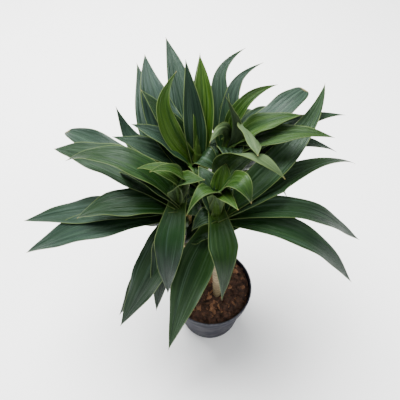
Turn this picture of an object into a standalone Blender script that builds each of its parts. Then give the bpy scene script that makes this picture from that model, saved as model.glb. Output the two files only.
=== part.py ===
"""Potted dracaena: four leafy heads on woody canes, in a round plastic nursery pot filled with bark compost.

Frame: the origin is the centre of the pot's flat underside, +Z is up, and the two front heads face -Y.
All the numbers below are millimetres and degrees unless a comment says otherwise.
"""

import math

import bmesh
import bpy
import numpy as np
from mathutils import Matrix

MM = 0.001

# Pot: a thin tapered cup with a stepped rim band and a rolled lip.
POT_HEIGHT = 115.0
BASE_RADIUS = 50.0
LIP_RADIUS = 65.5
BAND_RADIUS = 63.8
BAND_HEIGHT = 20.0
WALL = 1.5
FLOOR = 2.4
DRAIN_COUNT = 8
DRAIN_RADIUS = 4.0
DRAIN_CIRCLE = 36.0
BAND_STEP = 3.0
LIP_EDGE = 0.8
POT_SIDES = 32

# Compost: stops below the lip, with a lumpy top and loose bark chips half sunk in it.
SOIL_LEVEL = 108.0
GAP = 0.3
CHIP_COUNT = 28
CHIP_SEED = 11
CHIP_CLEAR = 15.0
CHIP_TURN = math.pi * (3 - math.sqrt(5))

# Canes stand in plain holes in the compost.
CANE_RADIUS = 6.5
CANE_SUNK = 45.0
CANE_SIDES = 10
SCAR_SPACING = 36.0
NECK_RADIUS = 7.6
LEAF_ROOT = 4.0

# Blades: thickness at the margin and along the midrib, and how wide the base is against the widest part.
# A blade is swept in a few steps, more of them if it is long, a little closer together towards the tip.
MARGIN_THICK = 0.8
RIB_THICK = 1.3
BASE_SHARE = 0.45
LEAST_HALF = 0.8
LONG_LEAF = 160.0
LONG_STEPS = 6
SHORT_STEPS = 4
STEP_POWER = 0.85

# Each head: where its cane leaves the compost, its growing point, and how far down the leaves reach.
HEADS = {
    "a": ((10.0, -12.0, 100.0), (2.0, 6.0, 330.0), 72.0),
    "b": ((-22.0, -4.0, 100.0), (-44.0, 22.0, 330.0), 72.0),
    "c": ((16.0, 22.0, 100.0), (18.0, 84.0, 358.0), 88.0),
    "d": ((-14.0, 20.0, 100.0), (-20.0, 70.0, 345.0), 86.0),
}

# One row a leaf. drop: attachment below the growing point. azimuth: compass direction, 0 along +X.
# reach and rise: the tip from the stem, along the ground and upwards. arch: the bow upwards of the middle.
# sway: the bow sideways, to the left seen from the stem. width: the widest part. roll and twist: the blade
# turned about its length, at the base and by the tip. skew: where the bow sits, above 0 nearer the base.
# widest: where along the length the blade is widest. taper: low is a long point, high is a blunt one.
# nod: how far the tip droops. hook: how far the tip curls to the left.
LEAVES = {
    "a": (
        # drop, azimuth, reach, rise, arch, sway, width, roll, twist, skew, widest, taper, nod, hook
        (13, -84, 78, -84, 26, 3, 35, 0, 0, 0.5, 0.28, 0.9, 0, 0),
        (40, -118.5, 133, -129, 10, -3, 48, 0, 0, 0.5, 0.32, 1.4, 0, 0),
        (28, -11, 194, -101, 48, -3, 33, 0, 30, 0.4, 0.28, 1.7, 0, 0),
        (24, 5, 208, -84, 47, -4, 31, 0, 25, 0.5, 0.3, 1.7, 0, 0),
        (20, 26, 217, -12, 36, -4, 46, 0, 0, 0.1, 0.34, 0.6, 12, 0),
        (17, 49, 224, 63, 29, -28, 36, 0, 0, 0, 0.36, 1.3, 0, 0),
        (12, 2, 74, 63, 24, 32, 34, 0, 225, 0.1, 0.6, 1.6, 34, 0),
        (6, -60, 42, 54, 22, 0, 22, 0, 0, 0.2, 0.45, 1.8, 0, 0),
        (5, -133, 50, 42, 20, 0, 23, 0, 10, 0.2, 0.45, 1.6, 34, 0),
        (7, -36, 44, 52, 16, 10, 32, 0, 0, 0.2, 0.45, 2.2, 34, 0),
        (34, 40, 130, -40, 34, 0, 34, 0, 0, 0.1, 0.42, 1.7, 0, 0),
        (12, 118, 46, 40, 12, 0, 30, 0, 0, 0.2, 0.42, 1.7, 8, 0),
        (62, 38, 112, -84, 30, 0, 32, 0, 0, 0.2, 0.42, 1.7, 0, 0),
        (24, 72, 52, 26, 14, 0, 30, 0, 0, 0.2, 0.42, 1.7, 8, 0),
        (26, -152, 34, 0, 14, 0, 24, 0, 0, 0.2, 0.45, 1.7, 8, 0),
        (4, 72, 34, 46, 4, 0, 24, 0, 0, 0.1, 0.5, 2.2, 0, 0),
        (44, -166, 42, -18, 8, 0, 34, 0, 0, 0.2, 0.42, 1.7, 0, 0),
    ),
    "b": (
        (27, 176, 220, -50, 11, 0, 40, 0, 0, 0.1, 0.5, 1.7, 0, 0),
        (34, -173, 213, -57, 22, 0, 47, 0, 0, 0.1, 0.42, 1.8, 0, 0),
        (23, -175, 130, -6, 18, 0, 42, 0, 0, 0.1, 0.42, 1.8, 8, 0),
        (19, 153, 194, 8, 22, -4, 50, 0, 0, 0.1, 0.46, 1.9, 0, 0),
        (29, 141, 216, 4, 24, 0, 36, 0, 0, 0.1, 0.5, 3.0, 0, 0),
        (11, 164, 146, 30, 38, 0, 34, 0, 0, 0.2, 0.45, 1.5, 14, 0),
        (11, -102, 80, -99, 26, 0, 36, 0, 0, 0.4, 0.32, 1.4, 0, 0),
        (26, -115, 89, -137, 12, 0, 35, 0, 0, 0.4, 0.34, 1.4, 0, 0),
        (42, -133.5, 132, -137, 8, 4, 51, 0, 0, 0.4, 0.34, 1.5, 0, 0),
        (52, -145, 122, -152, 6, 0, 42, 0, 0, 0.3, 0.36, 1.4, 0, 0),
        (8, 170, 46, 52, 25, 0, 24, 0, 0, 0.4, 0.45, 1.7, 16, 0),
        (4, -162, 30, 62, 22, 0, 20, 0, 0, 0.4, 0.45, 1.7, 16, 0),
        (5, -22, 34, 54, 18, 0, 30, 0, 0, 0.3, 0.45, 1.7, 0, 0),
        (15, 157, 82, 22, 22, 0, 34, 0, 0, 0.1, 0.42, 1.7, 8, 0),
        (40, 139, 184, -22, 34, 0, 36, 0, 0, 0.1, 0.42, 1.7, 0, 0),
        (44, 164, 116, -72, 30, 0, 36, 0, 0, 0.1, 0.42, 1.7, 0, 0),
        (62, 152, 112, -98, 20, 0, 34, 0, 0, 0.2, 0.42, 1.7, 0, 0),
        (16, 118, 44, 22, 14, 0, 28, 0, 0, 0.2, 0.42, 1.7, 8, 0),
        (32, 12, 28, -6, 10, 0, 28, 0, 0, 0.2, 0.42, 1.7, 0, 0),
        (60, 62, 30, -12, 6, 0, 30, 0, 0, 0.2, 0.42, 1.7, 0, 0),
    ),
    "c": (
        (24, 78, 104, 91, 12, 8, 26, 0, 0, 0.2, 0.4, 1.5, 0, -30),
        (28, 62, 91, 90, 14, 7, 23, 0, 0, 0.2, 0.4, 1.5, 0, -26),
        (34, 73, 90, 84, 14, 8, 24, 0, 0, 0.2, 0.42, 1.7, 0, -8),
        (10, 18, 54, 88, 19, 6, 20, 20, 0, 0.2, 0.45, 1.6, 0, -11),
        (24, 31, 111, 63, 20, -10, 33, 0, 0, 0.2, 0.5, 3.2, 0, 0),
        (15, -4, 80, 70, 16, 0, 34, 0, 0, 0.3, 0.45, 1.7, 0, 0),
        (16, -12, 120, 54, 18, -6, 34, 0, 0, 0.1, 0.42, 1.5, 10, 0),
        (36, 19.5, 164, 37, 20, 0, 27, 0, 0, 0.1, 0.44, 1.5, 8, 0),
        (40, 11, 153, -2, 28, 0, 27, 0, 0, 0.2, 0.42, 1.4, 8, 0),
        (5, -122, 46, 48, 17, 0, 15, 60, 120, 0.4, 0.45, 1.7, 12, 0),
        (3, -67, 68, 50, 16, 12, 34, 75, 110, 0.4, 0.5, 1.7, 8, 0),
        (8, -151, 8, 86, 6, 8, 22, 0, 0, 0.2, 0.42, 1.7, 0, 0),
        (34, 6, 92, -12, 28, 0, 36, 0, 0, 0.1, 0.42, 1.7, 0, 0),
        (40, 88, 170, -20, 34, 0, 34, 0, 0, 0.1, 0.42, 1.7, 10, 0),
        (34, 50, 114, 18, 28, 0, 32, 0, 0, 0.1, 0.42, 1.7, 0, 0),
        (46, 64, 138, -24, 34, 0, 34, 0, 0, 0.1, 0.42, 1.7, 10, 0),
        (20, -80, 44, 16, 18, 0, 34, 0, 0, 0.2, 0.42, 1.7, 10, 0),
        (66, 22, 112, -92, 20, 0, 32, 0, 0, 0.2, 0.42, 1.7, 0, 0),
        (68, 82, 128, -86, 28, 0, 34, 0, 0, 0.2, 0.42, 1.7, 0, 0),
        (78, 46, 96, -98, 24, 0, 32, 0, 0, 0.2, 0.42, 1.6, 0, 0),
        (26, 152, 27, 14, 5, 0, 30, 0, 0, 0.2, 0.42, 1.7, 0, 0),
        (46, 40, 110, -58, 6, 0, 36, 0, 0, 0.2, 0.42, 1.7, 0, 0),
        (56, 106, 114, -20, 14, 0, 30, 0, 0, 0.2, 0.42, 1.7, 0, 0),
    ),
    "d": (
        (24, 164, 84, 64, 15, 0, 34, 0, 0, 0.2, 0.42, 1.7, 0, 0),
        (28, 171, 106, 54, 10, 0, 36, 0, 0, 0.2, 0.42, 1.7, 0, 0),
        (33, 146, 129, 58, 0, 18, 41, 0, 0, 0, 0.4, 1.6, -20, 0),
        (27, 119.5, 139, 94, 16, 18, 44, 0, 0, 0.1, 0.42, 1.7, 0, 0),
        (35, 122, 155, 82, 14, 27, 38, 0, 0, 0.6, 0.36, 1.6, 0, 0),
        (26, 105.5, 162, 94, 10, -2, 38, 0, 0, 0.1, 0.42, 1.7, 0, 0),
        (10, 114, 60, 100, 8, 18, 24, 0, 0, 0.2, 0.45, 1.7, 0, -22),
        (14, 101, 76, 106, 8, 0, 27, 0, 0, 0.1, 0.4, 1.5, 0, 0),
        (9, 88.5, 86, 98, 8, -6, 25, 0, 0, 0.2, 0.5, 1.8, 0, 0),
        (30, 89, 119, 101, 10, 0, 25, 0, 0, 0.2, 0.42, 1.7, 0, 0),
        (24, -84, 38, 14, 16, 0, 30, 0, 0, 0.2, 0.42, 1.7, 14, 0),
        (42, 99, 216, -12, 34, 0, 34, 0, 0, 0.1, 0.42, 1.7, 10, 0),
        (46, 142, 130, -4, 30, 0, 32, 0, 0, 0.1, 0.42, 1.7, 8, 0),
        (40, 112, 172, 26, 28, 0, 38, 0, 0, 0.1, 0.42, 1.7, 0, 0),
        (22, -28, 36, 6, 26, 0, 34, 0, 0, 0.2, 0.42, 1.7, 10, 0),
        (60, 116, 130, -74, 28, 0, 34, 0, 0, 0.2, 0.42, 1.7, 0, 0),
        (68, 144, 98, -80, 24, 0, 30, 0, 0, 0.2, 0.42, 1.6, 0, 0),
        (78, 76, 112, -68, 22, 0, 36, 0, 0, 0.2, 0.42, 1.6, 0, 0),
        (46, -90, 26, -16, 10, 0, 26, 0, 0, 0.2, 0.45, 1.7, 8, 0),
        (56, 178, 84, -26, 12, 0, 32, 0, 0, 0.2, 0.42, 1.7, 8, 0),
        (20, 140, 90, 82, 10, 0, 32, 0, 0, 0.2, 0.42, 1.7, 0, 0),
        (58, -88, 74, -50, 14, 0, 22, 0, 0, 0.2, 0.42, 1.7, 0, 0),
        (44, -132, 30, -14, 8, 0, 30, 0, 0, 0.2, 0.42, 1.7, 0, 0),
    ),
}

for old in list(bpy.data.objects):
    bpy.data.objects.remove(old, do_unlink=True)


def material(name, colour, roughness):
    """A plain Principled material of this colour."""
    made = bpy.data.materials.new(name)
    made.use_nodes = True
    shader = made.node_tree.nodes["Principled BSDF"]
    shader.inputs["Base Color"].default_value = (*colour, 1.0)
    shader.inputs["Roughness"].default_value = roughness
    return made


def solid(name, points, faces):
    """A mesh object from points in millimetres, its faces turned outwards."""
    mesh = bpy.data.meshes.new(name)
    mesh.from_pydata([tuple(p) for p in np.asarray(points, float) * MM], [], [tuple(f) for f in faces])
    work = bmesh.new()
    work.from_mesh(mesh)
    bmesh.ops.recalc_face_normals(work, faces=work.faces)
    work.to_mesh(mesh)
    work.free()
    obj = bpy.data.objects.new(name, mesh)
    bpy.context.scene.collection.objects.link(obj)
    return obj


def combine(target, others, operation):
    """One Boolean of target with each of the others, applied. The others are removed."""
    for other in others:
        step = target.modifiers.new("Combine", "BOOLEAN")
        step.operation = operation
        step.solver = "MANIFOLD"
        step.object = other
    bpy.context.view_layer.update()
    graph = bpy.context.evaluated_depsgraph_get()
    mesh = bpy.data.meshes.new_from_object(target.evaluated_get(graph))
    target.modifiers.clear()
    target.data = mesh
    for other in others:
        bpy.data.objects.remove(other, do_unlink=True)
    return target


def fill_cavities(obj):
    """Removes the shells of sealed hollows, such as those between overlapping leaf bases."""
    work = bmesh.new()
    work.from_mesh(obj.data)
    left = set(work.faces)
    while left:
        shell = {left.pop()}
        front = list(shell)
        while front:
            for edge in front.pop().edges:
                beyond = [face for face in edge.link_faces if face in left and len(edge.link_faces) == 2]
                left.difference_update(beyond)
                shell.update(beyond)
                front.extend(beyond)
        volume = 0.0
        near = next(iter(shell)).verts[0].co.copy()
        for face in shell:
            first, *others = [v.co - near for v in face.verts]
            volume += sum(first.dot(b.cross(c)) for b, c in zip(others, others[1:]))
        if volume < 0:
            bmesh.ops.delete(work, geom=list(shell), context="FACES")
    work.to_mesh(obj.data)
    work.free()


def turned(name, profile, sides, base=(0.0, 0.0, 0.0), along=(0.0, 0.0, 1.0)):
    """A closed solid of revolution. profile is a ring of (radius, height) pairs, closed by the axis."""
    along = np.asarray(along, float) / np.linalg.norm(along)
    across = np.cross((0.0, 1.0, 0.0), along)
    across /= np.linalg.norm(across)
    other = np.cross(along, across)
    angles = np.arange(sides) * 2 * math.pi / sides
    points = []
    rings = []
    for radius, height in profile:
        centre = np.asarray(base) + along * height
        if radius == 0:
            rings.append([len(points)])
            points.append(centre)
            continue
        rings.append(list(range(len(points), len(points) + sides)))
        points.extend(centre + radius * (math.cos(a) * across + math.sin(a) * other) for a in angles)
    faces = []
    pairs = list(zip(rings, rings[1:]))
    if profile[0][0] != 0:
        pairs.append((rings[-1], rings[0]))
    for low, high in pairs:
        for i in range(sides):
            j = (i + 1) % sides
            if len(low) == 1 and len(high) == 1:
                continue
            if len(low) == 1:
                faces.append((low[0], high[j], high[i]))
            elif len(high) == 1:
                faces.append((low[i], low[j], high[0]))
            else:
                faces.append((low[i], low[j], high[j], high[i]))
    return solid(name, points, faces)


def turn_about(axis, angle):
    """The rotation matrix for this angle about a world axis."""
    return Matrix.Rotation(angle, 3, axis)


def unit(vectors):
    return vectors / np.linalg.norm(vectors, axis=-1, keepdims=True)


def stem_point(head, drop):
    """The point this far below the head's growing point, on the line of its cane."""
    low, top, _ = HEADS[head]
    low = np.array(low)
    top = np.array(top)
    return top + (low - top) / np.linalg.norm(low - top) * drop


def leaf_line(start, row, t):
    """Centreline of a leaf: a cubic from its root to its tip, with the droop and curl of the last third."""
    _, azimuth, reach, rise, arch, sway, _, _, _, skew, _, _, nod, hook = row
    angle = math.radians(azimuth)
    out = np.array((math.cos(angle), math.sin(angle), 0.0))
    side = np.array((-math.sin(angle), math.cos(angle), 0.0))
    up = np.array((0.0, 0.0, 1.0))
    end = start + out * (reach - LEAF_ROOT) + up * (rise + nod) - side * hook
    chord = unit(end - start)
    bow = 4 / 3 * (unit(up - (up @ chord) * chord) * arch + side * sway)
    first = start + (end - start) / 3 + bow * (1 + skew)
    second = start + (end - start) * 2 / 3 + bow * (1 - skew)
    t = t[:, None]
    late = np.clip((t - 0.65) / 0.35, 0, None) ** 2
    curve = (1 - t) ** 3 * start + 3 * (1 - t) ** 2 * t * first + 3 * (1 - t) * t**2 * second + t**3 * end
    return curve + late * (side * hook - up * nod), side


def half_width(row, t):
    """Half the blade's width: a clasping base, a swell to the widest part, and a long taper to the tip."""
    width, widest, taper = row[6], row[10], row[11]
    rising = np.clip(t / widest, 0, 1)
    falling = np.clip((t - widest) / (1 - widest), 0, 1)
    lower = BASE_SHARE + (1 - BASE_SHARE) * np.sin(math.pi / 2 * rising) ** 1.3
    upper = (1 - falling**taper) ** min(1.1, 1.95 - 0.5 * taper)
    return np.maximum(width / 2 * np.where(t < widest, lower, upper), LEAST_HALF)


def leaf(name, head, row):
    """A closed blade, channelled along its length, thin at the margins and thicker along the midrib."""
    angle = math.radians(row[1])
    start = stem_point(head, row[0]) + LEAF_ROOT * np.array((math.cos(angle), math.sin(angle), 0.0))
    steps = LONG_STEPS if math.hypot(row[2], row[3]) > LONG_LEAF else SHORT_STEPS
    t = np.linspace(0, 1, steps + 1) ** STEP_POWER
    centre, side = leaf_line(start, row, t)
    ahead = unit(leaf_line(start, row, t + 0.001)[0] - leaf_line(start, row, t - 0.001)[0])
    across = unit(side - (ahead @ side)[:, None] * ahead)
    upper = np.cross(ahead, across)
    turn = np.radians(row[7] + row[8] * t**1.5)[:, None]
    across, upper = across * np.cos(turn) + upper * np.sin(turn), upper * np.cos(turn) - across * np.sin(turn)
    half = half_width(row, t)
    channel = half * (0.22 + 0.75 * np.exp(-t / 0.12))
    u = np.array((-1.0, 0.0, 1.0))
    sheet = centre[:, None] + across[:, None] * (half[:, None] * u)[..., None]
    sheet = sheet + upper[:, None] * (channel[:, None] * np.abs(u) ** 1.5)[..., None]
    normal = unit(np.cross(np.gradient(sheet, axis=0), np.gradient(sheet, axis=1)))
    normal *= np.sign((normal * upper[:, None]).sum(-1, keepdims=True))
    thick = MARGIN_THICK + (RIB_THICK - MARGIN_THICK) * (1 - np.abs(u)) * (1 - 0.5 * t[:, None])
    top = (sheet + normal * thick[..., None] / 2).reshape(-1, 3)
    bottom = (sheet - normal * thick[..., None] / 2).reshape(-1, 3)
    under = len(top)
    faces = []
    for i in range(steps):
        for j in range(2):
            a = i * 3 + j
            b, c, d = a + 3, a + 4, a + 1
            faces += [(a, b, c), (a, c, d)]
            faces += [(under + a, under + c, under + b), (under + a, under + d, under + c)]
        for edge in (0, 2):
            a = i * 3 + edge
            faces += [(a, under + a, under + a + 3), (a, under + a + 3, a + 3)]
    for row_end in (0, steps * 3):
        for j in range(2):
            a = row_end + j
            faces += [(a, a + 1, under + a + 1), (a, under + a + 1, under + a)]
    return solid(name, np.concatenate((top, bottom)), faces)


# The pot, with its drain holes round the floor. The middle of the underside is left whole.
band_foot = POT_HEIGHT - BAND_HEIGHT
wall_foot = band_foot - BAND_STEP
wall_top = BASE_RADIUS + (BAND_RADIUS - BAND_STEP - BASE_RADIUS) * wall_foot / band_foot
pot = turned(
    "pot",
    (
        (0, 0),
        (BASE_RADIUS - 1.0, 0),
        (BASE_RADIUS, 1.0),
        (wall_top, wall_foot),
        (BAND_RADIUS - 1.2, band_foot),
        (BAND_RADIUS, band_foot + 1.0),
        (LIP_RADIUS - LIP_EDGE, POT_HEIGHT - 4 * LIP_EDGE),
        (LIP_RADIUS, POT_HEIGHT - 3 * LIP_EDGE),
        (LIP_RADIUS, POT_HEIGHT - LIP_EDGE),
        (LIP_RADIUS - LIP_EDGE, POT_HEIGHT),
        (LIP_RADIUS - 2.0, POT_HEIGHT),
        (LIP_RADIUS - 2.6, POT_HEIGHT - 1.0),
        (BAND_RADIUS - WALL, band_foot + 2.5),
        (wall_top - WALL, band_foot - 2.0),
        (BASE_RADIUS - WALL, FLOOR),
        (0, FLOOR),
    ),
    POT_SIDES,
)
drains = []
for index in range(DRAIN_COUNT):
    angle = 2 * math.pi * (index + 0.5) / DRAIN_COUNT
    place = (DRAIN_CIRCLE * math.cos(angle), DRAIN_CIRCLE * math.sin(angle), 0.0)
    rod = ((0, -2), (DRAIN_RADIUS, -2), (DRAIN_RADIUS, FLOOR + 2), (0, FLOOR + 2))
    drains.append(turned("drain", rod, 10, place))
combine(pot, drains, "DIFFERENCE")
pot.data.materials.clear()
pot.data.materials.append(material("pot", (0.036, 0.040, 0.055), 0.45))

# The compost: a filled body inside the pot, its top raised in low lumps.
rings = (11.0, 22.0, 33.0, 43.0, 53.0, 61.4)
sides = 28
angles = np.arange(sides) * 2 * math.pi / sides
soil_points = [(0.0, 0.0, SOIL_LEVEL + 1.0)]
for radius in rings:
    for angle in angles:
        x = radius * math.cos(angle)
        y = radius * math.sin(angle)
        lump = 1.3 * math.sin(x * 0.19 + 1.0) * math.cos(y * 0.23) + 0.9 * math.sin(0.41 * x - 0.37 * y)
        soil_points.append((x, y, SOIL_LEVEL + 1.0 - 2.0 * (radius / 60) ** 2 + lump))
wall_profile = (
    (BAND_RADIUS - WALL - GAP, band_foot + 2.6),
    (wall_top - WALL - GAP, band_foot - 2.0),
    (BASE_RADIUS - WALL - GAP, FLOOR + GAP),
)
for radius, height in wall_profile:
    soil_points.extend((radius * math.cos(a), radius * math.sin(a), height) for a in angles)
soil_points.append((0.0, 0.0, FLOOR + GAP))
levels = len(rings) + len(wall_profile)
soil_faces = [(0, 1 + i, 1 + (i + 1) % sides) for i in range(sides)]
for level in range(levels - 1):
    for i in range(sides):
        a = 1 + level * sides + i
        b = 1 + level * sides + (i + 1) % sides
        soil_faces.append((a, a + sides, b + sides, b))
last = 1 + levels * sides
soil_faces += [(last, last - sides + (i + 1) % sides, last - sides + i) for i in range(sides)]
soil = solid("soil", soil_points, soil_faces)

# Loose bark chips, tilted every way and half sunk.
numbers = np.random.default_rng(CHIP_SEED)
chips = []
for index in range(CHIP_COUNT):
    radius = 54 * math.sqrt((index + 0.5) / CHIP_COUNT)
    angle = index * CHIP_TURN + numbers.uniform(-0.2, 0.2)
    size = np.array((numbers.uniform(3.5, 7.0), numbers.uniform(2.2, 4.0), numbers.uniform(1.2, 2.4)))
    corners = np.array([(x, y, z) for z in (-1, 1) for y in (-1, 1) for x in (-1, 1)]) * size
    corners *= 1 + numbers.uniform(-0.14, 0.14, corners.shape)
    heading = numbers.uniform(0, math.pi)
    tilt = numbers.uniform(-0.45, 0.45)
    lean = numbers.uniform(-0.4, 0.4)
    spin = np.array(turn_about("Z", heading))
    pitch = np.array(turn_about("Y", tilt))
    bank = np.array(turn_about("X", lean))
    x = radius * math.cos(angle)
    y = radius * math.sin(angle)
    if min(math.hypot(x - low[0], y - low[1]) for low, _, _ in HEADS.values()) < CHIP_CLEAR:
        continue
    height = SOIL_LEVEL + 1.0 - 2.0 * (radius / 60) ** 2 + numbers.uniform(-0.1, 0.9)
    points = corners @ (spin @ pitch @ bank).T + (x, y, height)
    sides_of_chip = ((0, 1, 3, 2), (4, 6, 7, 5), (0, 4, 5, 1), (2, 3, 7, 6), (0, 2, 6, 4), (1, 5, 7, 3))
    chips.append(solid("chip", points, sides_of_chip))
combine(soil, chips, "UNION")
fill_cavities(soil)

# Canes: round and bare, with faint swollen rings where old leaves fell.
holes = []
for head, (low, top, depth) in HEADS.items():
    low = np.array(low)
    along = unit(np.array(top) - low)
    foot = low - along * CANE_SUNK
    length = CANE_SUNK + np.linalg.norm(np.array(top) - low) - depth - GAP
    profile = [(0, 0), (CANE_RADIUS - 1.5, 0), (CANE_RADIUS, 3), (CANE_RADIUS, CANE_SUNK + 8)]
    height = CANE_SUNK + 20
    while height < length - 12:
        profile += [(CANE_RADIUS - 0.3, height - 4), (CANE_RADIUS + 0.5, height)]
        height += SCAR_SPACING
    profile += [(CANE_RADIUS, length), (0, length)]
    cane = turned("cane_" + head, profile, CANE_SIDES, foot, along)
    cane.data.materials.append(material("cane_" + head, (0.22, 0.17, 0.08), 0.7))
    bore = CANE_RADIUS + GAP + 0.1
    rod = ((0, -GAP), (bore, -GAP), (bore, CANE_SUNK + 18), (0, CANE_SUNK + 18))
    holes.append(turned("hole", rod, CANE_SIDES, foot, along))
combine(soil, holes, "DIFFERENCE")
soil.data.materials.clear()
soil.data.materials.append(material("soil", (0.06, 0.028, 0.016), 0.95))

# Heads: a short green stem wrapped in leaf bases, a rolled spear at its top, and every leaf fused to it.
for head, rows in LEAVES.items():
    low, top, depth = HEADS[head]
    along = unit(np.array(top) - np.array(low))
    base = np.array(top) - along * depth
    profile = (
        (0, 0),
        (NECK_RADIUS - 1.0, 0),
        (NECK_RADIUS, 4),
        (NECK_RADIUS + 0.6, depth * 0.6),
        (NECK_RADIUS - 1.2, depth - 2),
        (NECK_RADIUS - 3.4, depth + 14),
        (1.0, depth + 34),
        (0, depth + 34),
    )
    stem = turned("head_" + head, profile, CANE_SIDES, base, along)
    combine(stem, [leaf("leaf", head, row) for row in rows], "UNION")
    fill_cavities(stem)
    stem.data.materials.clear()
    stem.data.materials.append(material("head_" + head, (0.035, 0.085, 0.03), 0.4))

# Round pieces are shaded smooth, with their corners kept.
for obj in bpy.context.scene.objects:
    obj.data.shade_smooth()
    obj.data.set_sharp_from_angle(angle=math.radians(35))
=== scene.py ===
import math

import bpy
import numpy as np
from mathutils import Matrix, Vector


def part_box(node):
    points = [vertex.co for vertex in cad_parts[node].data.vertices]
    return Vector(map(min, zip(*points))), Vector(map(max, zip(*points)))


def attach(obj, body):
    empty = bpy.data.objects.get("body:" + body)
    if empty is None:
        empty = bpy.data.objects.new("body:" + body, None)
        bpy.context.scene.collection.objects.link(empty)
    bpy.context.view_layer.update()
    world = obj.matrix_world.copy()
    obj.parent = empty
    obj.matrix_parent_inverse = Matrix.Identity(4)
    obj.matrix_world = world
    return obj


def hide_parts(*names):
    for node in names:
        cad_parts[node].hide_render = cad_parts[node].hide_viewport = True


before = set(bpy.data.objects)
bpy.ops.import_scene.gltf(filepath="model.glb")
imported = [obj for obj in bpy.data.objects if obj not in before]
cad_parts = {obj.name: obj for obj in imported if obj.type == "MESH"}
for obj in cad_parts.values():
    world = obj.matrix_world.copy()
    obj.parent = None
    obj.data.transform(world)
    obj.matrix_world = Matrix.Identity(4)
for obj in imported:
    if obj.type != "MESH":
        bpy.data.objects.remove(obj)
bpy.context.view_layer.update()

# The camera stands in front of the plant and looks down on it, as a buyer does over a nursery bench.
CAMERA_PLACE = (-0.0172, -0.2749, 0.7454)
CAMERA_TILT = math.radians(35.0)
CAMERA_LENS = 37.8

camera = bpy.data.objects.new("camera", bpy.data.cameras.new("camera"))
camera.location = CAMERA_PLACE
camera.rotation_euler = (CAMERA_TILT, 0.0, 0.0)
camera.data.lens = CAMERA_LENS
camera.data.sensor_width = 36.0
bpy.context.scene.collection.objects.link(camera)
bpy.context.scene.camera = camera


# The nursery pot: one thin moulding of dark blue-grey plastic, tapered so that pots stack. It has a stepped
# rim band, a rolled lip, a foot ring and eight drain holes. Its satin surface is paler at the lip.
MM = 0.001
POT_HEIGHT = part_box("pot")[1].z / MM
LIP_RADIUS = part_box("pot")[1].x / MM
BASE_RADIUS = 50.0
BASE_CORNER = 1.2
FOOT_RING_DEPTH = 0.9
BAND_RADIUS = 63.8
BAND_FOOT = 95.0
BAND_CORNER = 1.1
BAND_TAPER = 15.3
LIP_ROLL = 1.25
WALL = 1.5
FLOOR = 2.4
DRAIN_COUNT = 8
DRAIN_RADIUS = 4.0
DRAIN_CIRCLE = 36.0
INNERMOST = 10.0
POT_SIDES = 160
DRILL_SIDES = 32


def arc(centre, radius, first, last, steps):
    """Points of a round corner in a profile: centre plus radius times the cosine and sine of evenly spaced
    angles."""
    angles = np.radians(np.linspace(first, last, steps))
    return [(centre[0] + radius * math.cos(a), centre[1] + radius * math.sin(a)) for a in angles]


def grid_faces(rows, columns, wrapped=False, first=0):
    """Quads of a grid of points numbered row by row; wrapped joins its last column to its first."""
    across = np.arange(columns if wrapped else columns - 1)
    low = (first + np.arange(rows - 1) * columns)[:, None] + across
    right = (first + np.arange(rows - 1) * columns)[:, None] + (across + 1) % columns
    return np.stack((low, right, right + columns, low + columns), -1).reshape(-1, 4)


def end_fans(rows, sides):
    """Triangles that close both ends of a wrapped grid. They meet in two points numbered after the grid's
    own, the middle of its first row and then of its last."""
    here = np.arange(sides)
    beyond = (here + 1) % sides
    count = rows * sides
    low_fan = np.stack((np.full(sides, count), beyond, here), -1)
    high_fan = np.stack((np.full(sides, count + 1), count - sides + here, count - sides + beyond), -1)
    return np.concatenate((low_fan, high_fan))


def turned(profile, sides):
    """A solid of revolution about +Z. Each profile point sweeps a ring, and both ends close in a fan on the
    axis."""
    profile = np.asarray(profile, float)
    angles = np.arange(sides) * 2 * math.pi / sides
    circle = np.stack((np.cos(angles), np.sin(angles)), -1)
    levels = np.broadcast_to(profile[:, None, 1:], (len(profile), sides, 1))
    rings = np.concatenate((profile[:, None, :1] * circle, levels), -1)
    points = np.concatenate((rings.reshape(-1, 3), [(0, 0, profile[0, 1]), (0, 0, profile[-1, 1])]))
    return points, grid_faces(len(rings), sides, True), end_fans(len(rings), sides)


def piece(name, points, quads, triangles=None, finish=None, smooth=60, **values):
    """A mesh object from points in millimetres, with a number at each point for every named value."""
    faces = quads.tolist() + ([] if triangles is None else triangles.tolist())
    mesh = bpy.data.meshes.new(name)
    mesh.from_pydata((points * MM).tolist(), [], faces)
    mesh.shade_smooth()
    mesh.set_sharp_from_angle(angle=math.radians(smooth))
    for title, numbers in values.items():
        attribute = mesh.attributes.new(title, "FLOAT", "POINT")
        attribute.data.foreach_set("value", numbers.astype(np.float32).ravel())
    made = bpy.data.objects.new(name, mesh)
    bpy.context.scene.collection.objects.link(made)
    if finish is not None:
        mesh.materials.append(finish)
    return made


def node(tree, kind, inputs=(), **settings):
    """Adds a shader node, sets it up, and gives its inputs values or links them to other nodes' outputs."""
    made = tree.nodes.new("ShaderNode" + kind)
    for title, value in settings.items():
        setattr(made, title, value)
    for place, value in dict(inputs).items():
        if isinstance(value, bpy.types.NodeSocket):
            tree.links.new(value, made.inputs[place])
        else:
            made.inputs[place].default_value = value
    return made


def mixed(tree, factor, first, second, how="MIX"):
    """The colour that lies between two colours or outputs, by factor."""
    colours = {0: factor, 6: first, 7: second}
    return node(tree, "Mix", colours, data_type="RGBA", blend_type=how).outputs[2]


def ramp(tree, value, low, high, start=0.0, end=1.0):
    """Carries value from the stretch low to high over to start to end, eased and held at both ends."""
    given = {0: value, 1: low, 2: high, 3: start, 4: end}
    return node(tree, "MapRange", given, interpolation_type="SMOOTHSTEP").outputs[0]


def combined(tree, how, *numbers):
    """One number from others, by this kind of sum."""
    return node(tree, "Math", dict(enumerate(numbers)), operation=how).outputs[0]


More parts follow.
